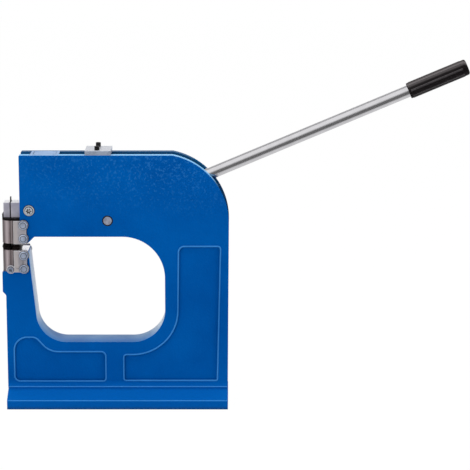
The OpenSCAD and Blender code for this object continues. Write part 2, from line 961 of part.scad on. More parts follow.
module jaw_side(grow) {
    slope = jaw_h * tan(seat_angle);
    teeth = floor(jaw_l / tooth_pitch);
    polygon(concat(
        [[-jaw_split - jaw_l - grow / cos(seat_angle), 0]],
        [for (i = [0 : teeth - 1])
            for (p = [[i * tooth_pitch, 0], [(i + 0.5) * tooth_pitch, tooth_h]])
                [-jaw_split - jaw_l, 0] + p],
        [[-jaw_split + grow, 0], [-jaw_split + grow, jaw_h],
         [-jaw_split - jaw_l + slope - grow / cos(seat_angle), jaw_h]]
    ));
}

module jaw_half(rear, lower) {
    translate([jaw_centre, 0, lower ? meet_z - tooth_gap / 2 : meet_z + tooth_gap / 2])
        mirror([0, 0, lower ? 1 : 0])
            mirror([rear ? 1 : 0, 0, 0])
                difference() {
                    slab(-jaw_w / 2 + slide_gap, jaw_w / 2 - slide_gap)
                        jaw_side(0);
                    translate([0, jaw_w, 0])
                        at_side(jaw_pin_at)
                            cylinder(r = jaw_pin_r + run_gap, h = 2 * jaw_w);
                }
}

module jaw_pin(rear, lower) {
    pin_y = jaw_w / 2 + jaw_pin_l - slide_gap;
    translate([jaw_centre, pin_y, lower ? meet_z - tooth_gap / 2 : meet_z + tooth_gap / 2])
        mirror([0, 0, lower ? 1 : 0])
            mirror([rear ? 1 : 0, 0, 0])
                at_side(jaw_pin_at)
                    cylinder(r = jaw_pin_r, h = 2 * pin_y);
}

module jaw_cavity() {
    slot_r = jaw_pin_r + 2 * run_gap;
    roof = jaw_h + jaw_travel * cos(seat_angle) + free_gap;
    slope = roof * tan(seat_angle);
    low = jaw_out - 2 * past;
    edge = jaw_split + jaw_l + slide_gap / cos(seat_angle);
    slab(-jaw_w / 2, jaw_w / 2)
        polygon([
            [-edge + low * tan(seat_angle), low],
            [edge - low * tan(seat_angle), low],
            [edge - slope, roof],
            [-edge + slope, roof]
        ]);
    slab(-jaw_w / 2 - jaw_pin_l, jaw_w / 2 + jaw_pin_l)
        for (m = [0, 1])
            mirror([m, 0]) {
                translate(jaw_pin_at)
                    rotate(90 - seat_angle)
                        translate([0, -slot_r])
                            square([jaw_travel, 2 * slot_r]);
                for (s = [0, jaw_travel])
                    translate(jaw_pin_at + s * seat_run)
                        circle(r = slot_r);
            }
}

module upper_housing() {
    color("darkgray")
        difference() {
            translate([0, 0, upper_z])
                linear_extrude(height = upper_top - upper_z)
                    grooved_plan(upper_y);
            translate([jaw_centre, 0, meet_z + tooth_gap / 2])
                jaw_cavity();
            translate([ram_front, -ram_y, ram_low])
                cube([jaw_front, 2 * ram_y, housing_h]);
        }
}

module lower_housing() {
    color("darkgray")
        difference() {
            translate([0, 0, lower_z])
                linear_extrude(height = housing_h)
                    grooved_plan(side_y);
            translate([jaw_centre, 0, meet_z - tooth_gap / 2])
                mirror([0, 0, 1])
                    jaw_cavity();
            both_sides()
                translate([lower_screw[0], side_y - lower_screw_l - past, lower_screw[1]])
                    rotate([-90, 0, 0])
                        cylinder(r = lower_screw_r + run_gap, h = lower_screw_l + 2 * past);
        }
}

// Side plates with round lobes, and their bolts
lobe_r = 8.2;
plate_gap = 0.8;
plate_front = groove_x[1] + groove_w / 2 + plate_gap;

module upper_side_plates() {
    waist = 5;
    color("silver")
        both_sides()
            difference() {
                slab(upper_y, upper_y + plate_t) {
                    translate([plate_front, upper_z])
                        square([plate_bolt_x + waist - plate_front, upper_top - upper_z]);
                    for (z = plate_bolt_z)
                        translate([plate_bolt_x, z])
                            circle(r = lobe_r);
                }
                for (z = plate_bolt_z)
                    translate([plate_bolt_x, upper_y - past, z])
                        rotate([-90, 0, 0])
                            cylinder(r = plate_bolt_r + run_gap, h = plate_t + 2 * past);
            }
}

module upper_plate_bolts() {
    color("silver")
        both_sides()
            for (z = plate_bolt_z)
                translate([plate_bolt_x, upper_y + plate_t, z])
                    rotate([-90, 0, 0])
                        bolt_flat(plate_bolt_r, upper_y + plate_t - hole_end, plate_head_r, plate_head_h);
}

module lower_side_plates() {
    waist = 5;
    front_lobe_r = 7;
    color("silver")
        both_sides()
            difference() {
                slab(side_y, side_y + plate_t) {
                    translate([plate_front, lower_z])
                        square([plate_bolt_x + waist - plate_front, housing_h]);
                    for (z = lower_bolt_z)
                        translate([plate_bolt_x, z])
                            circle(r = lobe_r);
                    translate(lower_screw)
                        circle(r = front_lobe_r);
                    translate([lower_screw[0], lower_z])
                        square([plate_front - lower_screw[0] + past, lower_screw[1] - lower_z + 4]);
                }
                for (z = lower_bolt_z)
                    translate([plate_bolt_x, side_y - past, z])
                        rotate([-90, 0, 0])
                            cylinder(r = lower_bolt_r + run_gap, h = plate_t + 2 * past);
                translate([lower_screw[0], side_y - past, lower_screw[1]])
                    rotate([-90, 0, 0])
                        cylinder(r = lower_screw_r + run_gap, h = plate_t + 2 * past);
            }
}

module lower_plate_bolts() {
    color("silver")
        both_sides()
            for (z = lower_bolt_z)
                translate([plate_bolt_x, side_y + plate_t, z])
                    rotate([-90, 0, 0])
                        bolt_flat(lower_bolt_r, plate_t + lower_bolt_l, plate_head_r, plate_head_h);
}

module lower_plate_screws() {
    head_r = 4.4;
    head_h = 3.4;
    color("silver")
        both_sides()
            translate([lower_screw[0], side_y + plate_t, lower_screw[1]])
                rotate([-90, 0, 0])
                    bolt_cap(lower_screw_r, plate_t + lower_screw_l, head_r, head_h);
}

module jaw_colour() {
    color([0.08, 0.07, 0.07])
        children();
}

frame();
front_cover();
front_cover_screws();
bridge_plate();
bridge_screws();
return_spring();
pivot_pin();
pivot_rings();
pivot_bolt();
pivot_nut();
handle_hub();
hub_screw();
handle_bar();
handle_grip();
rocker();
roller_pin();
cam_roller();
ram();
ram_front_bar();
ram_strip();
wiper();
upper_housing();
upper_side_plates();
upper_plate_bolts();
jaw_colour() jaw_half(false, false);  // upper_front_jaw
jaw_colour() jaw_pin(false, false);  // upper_front_jaw_pin
jaw_colour() jaw_half(true, false);  // upper_rear_jaw
jaw_colour() jaw_pin(true, false);  // upper_rear_jaw_pin
lower_housing();
lower_side_plates();
lower_plate_bolts();
lower_plate_screws();
jaw_colour() jaw_half(false, true);  // lower_front_jaw
jaw_colour() jaw_pin(false, true);  // lower_front_jaw_pin
jaw_colour() jaw_half(true, true);  // lower_rear_jaw
jaw_colour() jaw_pin(true, true);  // lower_rear_jaw_pin
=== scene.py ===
import json
import math

import bmesh
import bpy
from mathutils import Matrix, Vector


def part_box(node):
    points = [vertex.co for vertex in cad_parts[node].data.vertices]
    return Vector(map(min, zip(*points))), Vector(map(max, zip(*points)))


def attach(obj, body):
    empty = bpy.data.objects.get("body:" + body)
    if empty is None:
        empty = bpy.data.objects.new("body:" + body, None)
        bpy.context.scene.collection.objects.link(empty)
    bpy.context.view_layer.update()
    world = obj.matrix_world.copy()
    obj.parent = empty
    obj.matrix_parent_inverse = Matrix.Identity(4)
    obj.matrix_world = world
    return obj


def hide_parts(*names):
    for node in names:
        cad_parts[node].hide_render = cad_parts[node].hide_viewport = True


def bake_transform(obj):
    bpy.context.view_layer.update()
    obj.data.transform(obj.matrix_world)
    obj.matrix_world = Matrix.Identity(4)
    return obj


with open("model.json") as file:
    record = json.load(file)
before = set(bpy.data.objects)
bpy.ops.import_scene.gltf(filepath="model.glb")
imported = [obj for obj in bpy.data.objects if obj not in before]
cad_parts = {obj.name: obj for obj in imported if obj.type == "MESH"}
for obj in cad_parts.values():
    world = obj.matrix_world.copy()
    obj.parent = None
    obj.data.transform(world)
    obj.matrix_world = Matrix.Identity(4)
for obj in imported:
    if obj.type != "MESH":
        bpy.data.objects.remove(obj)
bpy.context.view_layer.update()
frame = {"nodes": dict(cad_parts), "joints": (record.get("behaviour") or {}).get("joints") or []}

# Frame: one grey iron casting with a foot, painted blue over the raw cast skin. The sand mould rounds its
# edges, and paler blue is painted along the rims of the cast pockets and the foot as a painted highlight.
MM = 0.001
nodes = frame["nodes"]
scene = bpy.context.scene
cheek_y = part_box("pivot_pin")[1].y
slot_y = 12.0 * MM
pocket_floor_y = 21.0 * MM
throat_x = (-150.0 * MM, 90.0 * MM)
throat_z = (105.0 * MM, 300.0 * MM)
rough_arm_x = (-160.0 * MM, 100.0 * MM)
rough_arm_z = (320.0 * MM, 420.0 * MM)
column_top_x = (-200.0 * MM, -130.0 * MM)
column_top_z = 266.0 * MM
flank_z = (44.0 * MM, 36.0 * MM)
foot_top_z = 30.0 * MM
foot_edge_z = 15.0 * MM
bottom_darkening_z = (6.0 * MM, 1.0 * MM)


# Adds a node with its settings, and links or sets each input that is named
def added(tree, kind, wires, **settings):
    made = tree.nodes.new(kind)
    for name, value in settings.items():
        setattr(made, name, value)
    for label, value in wires.items():
        if isinstance(value, bpy.types.NodeSocket):
            tree.links.new(value, made.inputs[label])
        else:
            made.inputs[label].default_value = value
    return made.outputs


def linear(red, green, blue):
    def channel(value):
        share = value / 255.0
        return share / 12.92 if share <= 0.04045 else ((share + 0.055) / 1.055) ** 2.4
    return channel(red), channel(green), channel(blue), 1.0


def shader_group(name, inputs, outputs):
    group = bpy.data.node_groups.new(name, "ShaderNodeTree")
    for label, value in inputs.items():
        made = group.interface.new_socket(label, in_out="INPUT", socket_type="NodeSocketFloat")
        made.default_value = value
    for label in outputs:
        group.interface.new_socket(label, in_out="OUTPUT", socket_type="NodeSocketFloat")
    return group, group.nodes.new("NodeGroupInput").outputs, group.nodes.new("NodeGroupOutput").inputs


def make_cast_skin():
    group, given, out = shader_group("cast_skin", {"grain": 900.0, "mottle": 14.0}, ("height", "shade"))
    place = added(group, "ShaderNodeTexCoord", {})["Object"]
    for size, detail, result in (("grain", 2.0, "height"), ("mottle", 4.0, "shade")):
        noise = added(group, "ShaderNodeTexNoise", {"Vector": place, "Scale": given[size], "Detail": detail})
        group.links.new(noise["Fac"], out[result])
    return group


cast_skin = make_cast_skin()


def new_material(name, colour, roughness, metallic):
    made = bpy.data.materials.new(name)
    made.use_nodes = True
    shader = made.node_tree.nodes["Principled BSDF"]
    for label, value in (("Base Color", colour), ("Roughness", roughness), ("Metallic", metallic)):
        shader.inputs[label].default_value = value
    return made, made.node_tree, shader


def ramp_between(tree, fac, low, high):
    ramp = tree.nodes.new("ShaderNodeValToRGB")
    for stop, place, colour in zip(ramp.color_ramp.elements, (0.35, 0.65), (low, high)):
        stop.position = place
        stop.color = colour
    tree.links.new(fac, ramp.inputs["Fac"])
    return ramp.outputs["Color"]


def bump_from(tree, shader, height, distance, strength):
    bump = added(tree, "ShaderNodeBump", {"Height": height, "Distance": distance, "Strength": strength})
    tree.links.new(bump["Normal"], shader.inputs["Normal"])


def scaled_to(tree, value, low, high, to_low=0.0, to_high=1.0):
    return added(tree, "ShaderNodeMapRange", {
        "Value": value, "From Min": low, "From Max": high, "To Min": to_low, "To Max": to_high})["Result"]


def combined(tree, operation, one, other):
    return added(tree, "ShaderNodeMath", {0: one, 1: other}, operation=operation)["Value"]


def all_of(tree, first, *others):
    for other in others:
        first = combined(tree, "MULTIPLY", first, other)
    return first


def within(tree, value, low, high, soft=0.5 * MM):
    return all_of(tree, scaled_to(tree, value, low - soft, low + soft),
                  scaled_to(tree, value, high + soft, high - soft))


def blended(tree, share, low, high):
    return added(tree, "ShaderNodeMix", {"Factor": share, "A": low, "B": high}, data_type="RGBA")["Result"]


def position(tree):
    place = added(tree, "ShaderNodeTexCoord", {})["Object"]
    return added(tree, "ShaderNodeSeparateXYZ", {"Vector": place})


def direction(tree):
    normal = added(tree, "ShaderNodeNewGeometry", {})["Normal"]
    return added(tree, "ShaderNodeSeparateXYZ", {"Vector": normal})


def paint(name, dark, light, fleck, foot, painted_light=None):
    made, tree, shader = new_material(name, light, roughness=paint_roughness, metallic=0.0)
    skin = added(tree, "ShaderNodeGroup", {"grain": 300.0, "mottle": 9.0}, node_tree=cast_skin)
    at = position(tree)
    colour = ramp_between(tree, skin["shade"], dark, light)
    # Pale flecks are painted on the rough skin of the upper arm as painted glints, most to the rear. The
    # smooth foot gets painted light that makes it paler, painted shade below its top edge, and darkens
    # towards its bottom
    flecks = all_of(tree, scaled_to(tree, skin["height"], 0.52, 0.74),
                    scaled_to(tree, at["Z"], *rough_arm_z, 0.02, 0.32),
                    scaled_to(tree, at["X"], *rough_arm_x, 0.5, 1.3))
    for share, shown in (
            (flecks, fleck),
            (scaled_to(tree, at["Z"], *flank_z, 0.0, 0.75), foot),
            (scaled_to(tree, at["Z"], foot_top_z, foot_top_z - 1.0 * MM), foot),
            (scaled_to(tree, at["Z"], foot_edge_z, foot_edge_z - 2.0 * MM, 0.0, 0.5), dark),
            (scaled_to(tree, at["Z"], *bottom_darkening_z, 0.0, 0.7), linear(26, 62, 98))):
        colour = blended(tree, share, colour, shown)
    shader.inputs["Specular IOR Level"].default_value = paint_gloss
    shader.inputs["Specular Tint"].default_value = paint_glint
    bump_from(tree, shader, skin["height"], distance=0.5 * MM, strength=0.5)
    results = painted_light(tree, skin, at, colour) if painted_light else {"Base Color": colour}
    for label, value in results.items():
        tree.links.new(value, shader.inputs[label])
    return made


# Seen edge on, the near cheek's top and the throat get a painted reflection of the pale room, patchy in the
# throat, and the far cheek's top, the outer ends and the slot's walls get painted shade. The column's top is
# milled bright
def casting_painted_light(tree, skin, at, colour):
    turned = direction(tree)
    facing = added(tree, "ShaderNodeLayerWeight", {})["Facing"]
    grazing = scaled_to(tree, facing, 0.5, 0.8)
    steepest = scaled_to(tree, facing, 0.8, 0.9)
    edge_on = scaled_to(tree, combined(tree, "ABSOLUTE", turned["Y"], 0.0), 0.75, 0.5)
    upper_face = all_of(tree, grazing, scaled_to(tree, turned["Z"], 0.5, 0.7),
                        scaled_to(tree, at["Z"], throat_z[1], throat_z[1] + 1.0 * MM))
    throat_face = all_of(tree, grazing, edge_on, within(tree, at["Z"], *throat_z),
                         within(tree, at["X"], *throat_x))
    outer_end = all_of(tree, scaled_to(tree, throat_face, 1.0, 0.0), scaled_to(tree, facing, 0.6, 0.8),
                       scaled_to(tree, combined(tree, "ABSOLUTE", turned["X"], 0.0), 0.2, 0.5))
    patchy_sheen = scaled_to(tree, skin["shade"], 0.42, 0.6, 0.5, 1.0)
    slot_side = all_of(tree, scaled_to(tree, edge_on, 1.0, 0.0),
                       within(tree, at["Y"], -slot_y - 0.3 * MM, slot_y + 0.3 * MM, soft=0.2 * MM))
    milled = all_of(tree, within(tree, at["Z"], column_top_z - MM, column_top_z + MM, soft=0.2 * MM),
                    within(tree, at["X"], *column_top_x))
    away = scaled_to(tree, at["Y"], -cheek_y, 20.0 * MM)
    floor_sheen = blended(tree, away, linear(40, 134, 208), linear(156, 188, 216))
    wall_sheen = blended(tree, away, linear(176, 212, 240), linear(246, 250, 254))
    near_side = scaled_to(tree, at["Y"], -9.0 * MM, -11.0 * MM)
    far_side = scaled_to(tree, at["Y"], 9.0 * MM, 11.0 * MM)
    for share, shown in (
            (outer_end, linear(16, 58, 98)),
            (all_of(tree, throat_face, patchy_sheen), floor_sheen),
            (all_of(tree, throat_face, steepest), wall_sheen),
            (all_of(tree, upper_face, near_side), linear(139, 203, 251)),
            (all_of(tree, upper_face, far_side), linear(28, 88, 134)),
            (slot_side, linear(24, 84, 134)),
            (milled, linear(236, 235, 240))):
        colour = blended(tree, share, colour, shown)
    return {"Base Color": colour, "Metallic": milled,
            "Specular IOR Level": scaled_to(tree, outer_end, 0.0, 1.0, paint_gloss, 0.0),
            "Roughness": scaled_to(tree, milled, 0.0, 1.0, paint_roughness, milled_roughness),
            "Specular Tint": blended(tree, milled, paint_glint, linear(255, 255, 255))}


paint_roughness, milled_roughness = 0.4, 0.2
paint_gloss = 0.05
paint_glint = linear(70, 150, 230)
# The first paint is a paler blue for the rim and foot beads, a painted highlight on rounded edges
rim_highlight_blue = paint("rim_highlight_blue", dark=linear(44, 120, 194), light=linear(60, 138, 210),
                  fleck=linear(80, 154, 220), foot=linear(60, 140, 214))
blue_paint = paint("blue_paint", dark=linear(0, 79, 158), light=linear(0, 89, 171),
                   fleck=linear(64, 144, 214), foot=linear(4, 100, 187), painted_light=casting_painted_light)


# A second material, where one is given, goes on the rounded edges
def finish_node(name, *materials, edge=0.0):
    piece = nodes[name]
    piece.data.materials.clear()
    for material in materials:
        piece.data.materials.append(material)
    if edge > 0.0:
        weld = piece.modifiers.new("weld", "WELD")
        weld.merge_threshold = 0.01 * MM
        bevel = piece.modifiers.new("rounded_edges", "BEVEL")
        bevel.limit_method = "ANGLE"
        bevel.angle_limit = math.radians(35.0)
        bevel.width = edge
        bevel.segments = 2
        bevel.material = len(materials) - 1
        bevel.harden_normals = True
        piece.modifiers.new("even_shading", "WEIGHTED_NORMAL")


finish_node("frame", blue_paint, edge=1.2 * MM)


# A wire mesh of those edges of a node that the test keeps
def node_edges(name, keep):
    copy = bmesh.new()
    copy.from_mesh(nodes[name].data)
    bmesh.ops.remove_doubles(copy, verts=copy.verts, dist=0.01 * MM)
    copy.normal_update()
    rest = [edge for edge in copy.edges if len(edge.link_faces) != 2 or not keep(edge)]
    bmesh.ops.delete(copy, geom=list(copy.faces), context="FACES_ONLY")
    bmesh.ops.delete(copy, geom=rest, context="EDGES")
    bmesh.ops.delete(copy, geom=[corner for corner in copy.verts if not corner.link_edges], context="VERTS")
    mesh = bpy.data.meshes.new(name + "_edges")
    copy.to_mesh(mesh)
    copy.free()
    return mesh


# A tree with an input for each named size and one for the finish
def growing_tree(name, sizes, takes_mesh=False):
    tree = bpy.data.node_groups.new(name, "GeometryNodeTree")
    if takes_mesh:
        tree.interface.new_socket("Geometry", in_out="INPUT", socket_type="NodeSocketGeometry")
    for label, value in sizes.items():
        kind = "NodeSocketInt" if isinstance(value, int) else "NodeSocketFloat"
        made = tree.interface.new_socket(label, in_out="INPUT", socket_type=kind)
        made.default_value = value
    tree.interface.new_socket("finish", in_out="INPUT", socket_type="NodeSocketMaterial")
    tree.interface.new_socket("Geometry", in_out="OUTPUT", socket_type="NodeSocketGeometry")
    return tree, tree.nodes.new("NodeGroupInput").outputs


def round_bar(tree, path, radius, sides):
    ring = added(tree, "GeometryNodeCurvePrimitiveCircle", {"Radius": radius, "Resolution": sides})["Curve"]
    return added(tree, "GeometryNodeCurveToMesh", {
        "Curve": path, "Profile Curve": ring, "Fill Caps": True})["Mesh"]


def finished_tree(tree, given, shape):
    real = added(tree, "GeometryNodeRealizeInstances", {"Geometry": shape})["Geometry"]
    coated = added(tree, "GeometryNodeSetMaterial", {"Geometry": real, "Material": given["finish"]})
    tree.links.new(coated["Geometry"], tree.nodes.new("NodeGroupOutput").inputs["Geometry"])
    return tree


def bead_tree():
    tree, given = growing_tree("edge_bead", {"bead radius": 1.0 * MM}, takes_mesh=True)
    path = added(tree, "GeometryNodeMeshToCurve", {"Mesh": given["Geometry"]})["Curve"]
    return finished_tree(tree, given, round_bar(tree, path, given["bead radius"], sides=10))


beads = bead_tree()


# Sets the named inputs, evaluates the tree and keeps its mesh as a piece
def grown(name, tree, values, base=None, place=Matrix.Identity(4)):
    holder = bpy.data.objects.new(name + "_holder", base or bpy.data.meshes.new(name + "_holder"))
    scene.collection.objects.link(holder)
    modifier = holder.modifiers.new("grow", "NODES")
    modifier.node_group = tree
    for item in tree.interface.items_tree:
        if item.in_out == "INPUT" and item.name in values:
            modifier[item.identifier] = values[item.name]
    graph = bpy.context.evaluated_depsgraph_get()
    mesh = bpy.data.meshes.new_from_object(holder.evaluated_get(graph))
    mesh.transform(place)
    bpy.data.objects.remove(holder)
    mesh.name = name
    for polygon in mesh.polygons:
        polygon.use_smooth = True
    piece = bpy.data.objects.new(name, mesh)
    scene.collection.objects.link(piece)
    return piece


def at_depth(corner, depth):
    return abs(abs(corner.co.y) - depth) < 0.1 * MM


def on_cheek(face):
    return abs(face.normal.y) > 0.99 and all(at_depth(corner, cheek_y) for corner in face.verts)


def is_pocket_rim(edge):
    cheek, wall = sorted(edge.link_faces, key=on_cheek, reverse=True)
    return (on_cheek(cheek) and not on_cheek(wall) and abs(wall.normal.y) < 0.5
            and all(abs(corner.co.y) > pocket_floor_y - 0.1 * MM for corner in wall.verts)
            and all(corner.co.z > foot_top_z + 5.0 * MM for corner in wall.verts)
            and any(at_depth(corner, pocket_floor_y) for corner in wall.verts))


# Beads on the pocket rims and foot edges carry the paler blue as a painted highlight
pocket_rims = grown("pocket_rims", beads, {"bead radius": 1.3 * MM, "finish": rim_highlight_blue},
                    node_edges("frame", is_pocket_rim))
foot_line_places = ((48.9 * MM, foot_edge_z), (24.6 * MM, 32.7 * MM))
foot_line_ends = (-183.5 * MM, 183.0 * MM)
foot_line_mesh = bpy.data.meshes.new("foot_lines")
foot_line_mesh.from_pydata(
    [(x, side * y, z) for y, z in foot_line_places for side in (-1, 1) for x in foot_line_ends],
    [(0, 1), (2, 3), (4, 5), (6, 7)], [])
foot_lines = grown("foot_lines", beads, {"bead radius": 1.05 * MM, "finish": rim_highlight_blue}, foot_line_mesh)
for piece in (pocket_rims, foot_lines):
    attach(piece, "frame")


# Front cover: a ground steel plate let into the tops of both cheeks and held by four flush screws.
# Ground steel has fine straight scratches and reflects the pale room.
def make_scratches():
    group, given, out = shader_group(
        "scratches", {"along_x": 1.0, "along_y": 1.0, "along_z": 1.0, "scale": 900.0}, ("height", "shade"))
    place = added(group, "ShaderNodeTexCoord", {})["Object"]
    squeeze = added(group, "ShaderNodeCombineXYZ", {
        "X": given["along_x"], "Y": given["along_y"], "Z": given["along_z"]})["Vector"]
    stretched = added(group, "ShaderNodeVectorMath", {0: place, 1: squeeze}, operation="MULTIPLY")["Vector"]
    lines = added(group, "ShaderNodeTexNoise", {"Vector": stretched, "Scale": given["scale"], "Detail": 3.0})
    cloud = added(group, "ShaderNodeTexNoise", {"Vector": place, "Scale": 60.0, "Detail": 3.0})
    group.links.new(lines["Fac"], out["height"])
    group.links.new(cloud["Fac"], out["shade"])
    return group


scratches = make_scratches()


# The stretch gives the way of the scratches. Where they are given, a paler colour on upward faces as painted
# light from above, the bands across X and painted shade on a face seen edge on lie over the ground
def steel(name, dark, light, roughness, metallic=1.0, stretch=(1.0, 1.0, 0.03), depth=0.05 * MM, top=None,
          bands=(), dim=None, glint=None):
    made, tree, shader = new_material(name, light, roughness, metallic)
    ground = added(tree, "ShaderNodeGroup", dict(zip(("along_x", "along_y", "along_z"), stretch)),
                   node_tree=scratches)
    colour = ramp_between(tree, ground["shade"], dark, light)
    if top:
        colour = blended(tree, scaled_to(tree, direction(tree)["Z"], 0.3, 0.8), colour, top)
    for low, high, soft, shown in bands:
        colour = blended(tree, within(tree, position(tree)["X"], low, high, soft), colour, shown)
    if dim:
        facing = added(tree, "ShaderNodeLayerWeight", {})["Facing"]
        colour = blended(tree, scaled_to(tree, facing, 0.14, 0.45), colour, dim)
    tree.links.new(colour, shader.inputs["Base Color"])
    bump_from(tree, shader, ground["height"], depth, strength=0.4)
    if glint is not None:
        shader.inputs["Specular IOR Level"].default_value = glint
    return made


along_bars = (0.03, 1.0, 1.0)
# The cover steel's pale blue colour is a painted reflection
cover_steel = steel("cover_steel", linear(146, 184, 230), linear(170, 204, 246), roughness=0.42,
                    stretch=along_bars)
finish_node("front_cover", cover_steel, edge=0.4 * MM)
finish_node("front_cover_screws", cover_steel, edge=0.2 * MM)

# Pivots: a ground pin whose rounded rims are painted black as painted shade, held by black retaining rings,
# carries the handle. A bright bolt with a round head carries the rocker and has a plain hexagon nut on the
# far side.
pin_steel = steel("pin_steel", linear(136, 140, 158), linear(196, 200, 218), roughness=0.38, metallic=0.5)
black_oxide = steel("black_oxide", linear(18, 18, 19), linear(34, 33, 34), roughness=0.5, metallic=0.6)
zinc_bolt = steel("zinc_bolt", linear(150, 162, 186), linear(196, 208, 230), roughness=0.34, metallic=0.5)
# bright_rim as a second material paints a highlight on rounded edges; the pivot bolt is made of it
# throughout
bright_rim = steel("bright_rim", linear(214, 220, 230), linear(246, 248, 252), roughness=0.3, metallic=0.5)
finish_node("pivot_pin", pin_steel, black_oxide, edge=0.6 * MM)
finish_node("pivot_rings", black_oxide, edge=0.2 * MM)
finish_node("pivot_bolt", bright_rim, edge=0.6 * MM)
finish_node("pivot_nut", zinc_bolt, bright_rim, edge=0.6 * MM)


# Dark beads of painted shadow run where a head or plate meets its base, behind the given X, and in the
# sockets of the heads. The lift keeps a moving plate's shadow line off the casting
def painted_shadow_lines(name, base_y, body, radius=0.7 * MM, behind=-math.inf, lift=0.0):
    def is_shadow_edge(edge):
        if edge.calc_face_angle() < sharp_angle or min(corner.co.x for corner in edge.verts) < behind:
            return False
        low = min(abs(corner.co.y) for corner in edge.verts)
        high = max(abs(corner.co.y) for corner in edge.verts)
        return (edge.is_convex and base_y - 0.02 * MM < low and high < base_y + 0.02 * MM
                or not edge.is_convex and low > base_y + 0.3 * MM)

    shadow_edges = node_edges(name, is_shadow_edge)
    for corner in shadow_edges.vertices:
        corner.co.y += math.copysign(lift, corner.co.y)
    piece = grown(name + "_seams", beads, {"bead radius": radius, "finish": black_oxide}, shadow_edges)
    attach(piece, body)


sharp_angle = 0.5
painted_shadow_lines("pivot_bolt", cheek_y, "frame", radius=1.0 * MM)

# Handle: a machined hub with the cam, a bright drawn round bar pushed into it and locked by a small
# screw, and a black moulded rubber grip on the bar's end with ribs painted grey as painted highlights.
hub_steel = steel("hub_steel", linear(92, 94, 98), linear(120, 121, 126), roughness=0.45)
bar_steel = steel("bar_steel", linear(211, 210, 213), linear(219, 218, 221), roughness=0.2,
                  stretch=(0.03, 1.0, 0.03), depth=0.01 * MM)
finish_node("handle_hub", hub_steel, edge=0.8 * MM)
finish_node("hub_screw", black_oxide)
finish_node("handle_bar", bar_steel)


# A colour given for the upper side is painted on faces turned upwards as a painted highlight
def rubber(name, dark, light, roughness, sheen, upper_highlight=None):
    made, tree, shader = new_material(name, light, roughness, metallic=0.0)
    skin = added(tree, "ShaderNodeGroup", {"grain": 1500.0, "mottle": 40.0}, node_tree=cast_skin)
    colour = ramp_between(tree, skin["shade"], dark, light)
    if upper_highlight:
        upward = direction(tree)["Z"]
        share = all_of(tree, scaled_to(tree, upward, 0.42, 0.74),
                       scaled_to(tree, upward, 0.9, 0.8, 0.15, 1.0))
        colour = blended(tree, share, colour, upper_highlight)
    tree.links.new(colour, shader.inputs["Base Color"])
    bump_from(tree, shader, skin["height"], distance=0.2 * MM, strength=0.4)
    shader.inputs["Specular IOR Level"].default_value = sheen
    return made


# Both rubbers are painted paler on upward faces as a painted highlight; the ribs' grey is a painted
# highlight too
grip_rubber = rubber("grip_rubber", linear(22, 19, 20), linear(30, 27, 28), roughness=0.45, sheen=0.06,
                     upper_highlight=linear(106, 101, 102))
rib_highlight_rubber = rubber("rib_highlight_rubber", linear(54, 51, 53), linear(66, 63, 65), roughness=0.45, sheen=0.2,
                     upper_highlight=linear(116, 111, 112))
finish_node("handle_grip", grip_rubber, edge=0.4 * MM)


def rib_tree(sizes):
    tree, given = growing_tree("ribs_round_an_axis", sizes)
    places = added(tree, "GeometryNodeMeshCircle", {
        "Vertices": given["rib count"], "Radius": given["ring radius"]})["Mesh"]
    end = added(tree, "ShaderNodeCombineXYZ", {"Z": given["rib length"]})["Vector"]
    path = added(tree, "GeometryNodeCurvePrimitiveLine", {"End": end})["Curve"]
    rib = round_bar(tree, path, given["rib radius"], sides=12)
    ribs = added(tree, "GeometryNodeInstanceOnPoints", {"Points": places, "Instance": rib})["Instances"]
    return finished_tree(tree, given, ribs)


handle_pivot = next(joint["pos_m"] for joint in frame["joints"] if joint["name"] == "handle_lift")
handle_angle = math.radians(22.87)
bar_rise = 3.2 * MM
grip_start, grip_end = 539.5 * MM, 643.5 * MM
rib_lead, rib_tail = 4.0 * MM, 9.0 * MM
rib_turn = math.radians(-5.0)
along_grip = (Matrix.Translation(handle_pivot)
              @ Matrix.Rotation(math.pi / 2 - handle_angle, 4, "Y")
              @ Matrix.Translation((-bar_rise, 0.0, grip_start + rib_lead))
              @ Matrix.Rotation(rib_turn, 4, "Z"))
rib_sizes = {
    "rib count": 8,
    "ring radius": 11.2 * MM,
    "rib radius": 2.6 * MM,
    "rib length": grip_end - grip_start - rib_lead - rib_tail,
}
grip_ribs = grown("grip_ribs", rib_tree(rib_sizes), {**rib_sizes, "finish": rib_highlight_rubber}, place=along_grip)
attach(grip_ribs, "handle")

# Rocker: a forged steel lever on the pivot bolt between the cheeks. Its forked tail holds the hardened
# cam roller on a ground pin, and its nose works in the ram.
finish_node("rocker", hub_steel, edge=0.8 * MM)
finish_node("roller_pin", pin_steel, edge=0.4 * MM)
finish_node("cam_roller", pin_steel, edge=0.5 * MM)

# Bridge plate and return spring: a zinc plated steel plate across the cheeks, held by two black cap
# screws. The spring, wound of oiled spring wire, stands under it on the rocker's tail.
# The bridge plate's top is painted lighter as painted light from above
bridge_steel = steel("bridge_steel", linear(160, 172, 192), linear(182, 193, 212), roughness=0.4,
                     metallic=0.5, stretch=along_bars, top=linear(210, 213, 221))
spring_steel = steel("spring_steel", linear(84, 84, 86), linear(120, 120, 122), roughness=0.35)
finish_node("bridge_plate", bridge_steel, bright_rim, edge=0.9 * MM)
finish_node("bridge_screws", black_oxide, edge=0.4 * MM)


def coil_tree(sizes):
    tree, given = growing_tree("coil_wire", sizes)
    path = added(tree, "GeometryNodeCurveSpiral", {
        "Resolution": 36, "Rotations": given["turns"], "Start Radius": given["coil radius"],
        "End Radius": given["coil radius"], "Height": given["height"]})["Curve"]
    return finished_tree(tree, given, round_bar(tree, path, given["wire radius"], sides=12))


